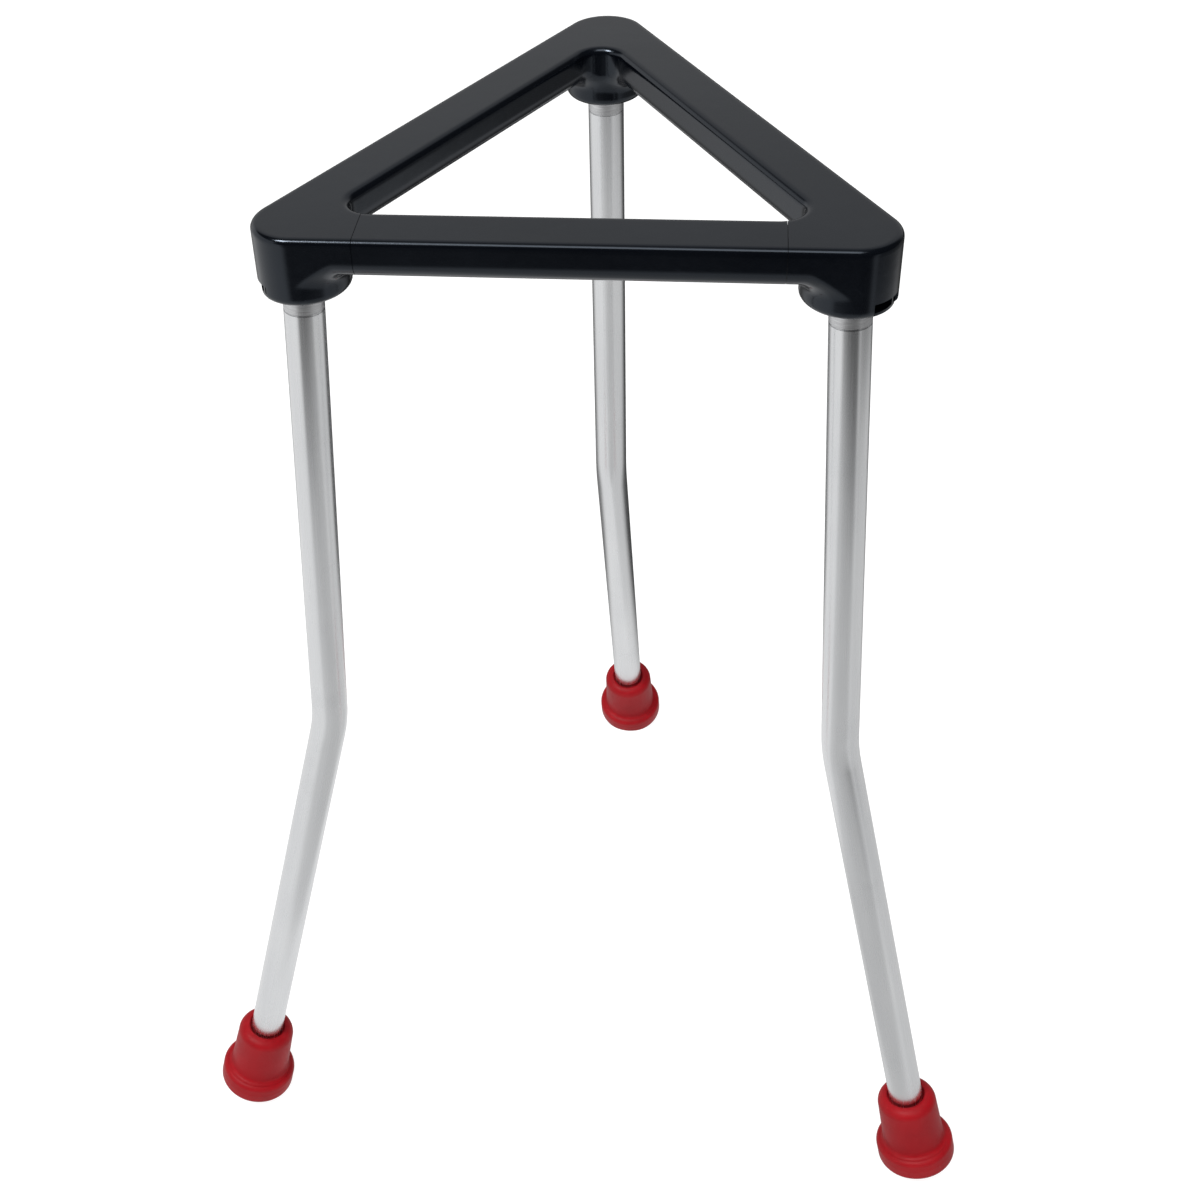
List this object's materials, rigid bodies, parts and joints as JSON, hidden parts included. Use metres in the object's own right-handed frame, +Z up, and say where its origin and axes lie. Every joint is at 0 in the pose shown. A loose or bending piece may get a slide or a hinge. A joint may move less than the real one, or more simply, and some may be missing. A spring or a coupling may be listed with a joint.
{
  "type": "lab tripod stand",
  "caption": "Free-standing lab tripod: a moulded triangular ring top on splayed, bent metal tube legs with flanged rubber feet, for holding glassware or gauze over a burner.",
  "frame": {"origin": "on the stand's three-fold axis, in the plane that the three feet stand on", "axes": "+Z up along the three-fold axis; the back corner of the top lies towards +Y and the front bar faces -Y; +X is to the right seen from the front"},
  "size_m": [0.2332, 0.2084, 0.3086],
  "materials": {
    "moulding": "satin moulded, very dark charcoal",
    "leg_tube": "satin drawn tube",
    "foot_rubber": "semi-matt moulded red rubber"
  },
  "bodies": {
    "root": {"frame": "moulding", "front_bar": "moulding", "leg_left": "leg_tube", "leg_right": "leg_tube", "leg_back": "leg_tube", "foot_left": "foot_rubber", "foot_right": "foot_rubber", "foot_back": "foot_rubber"}
  },
  "joints": []
}
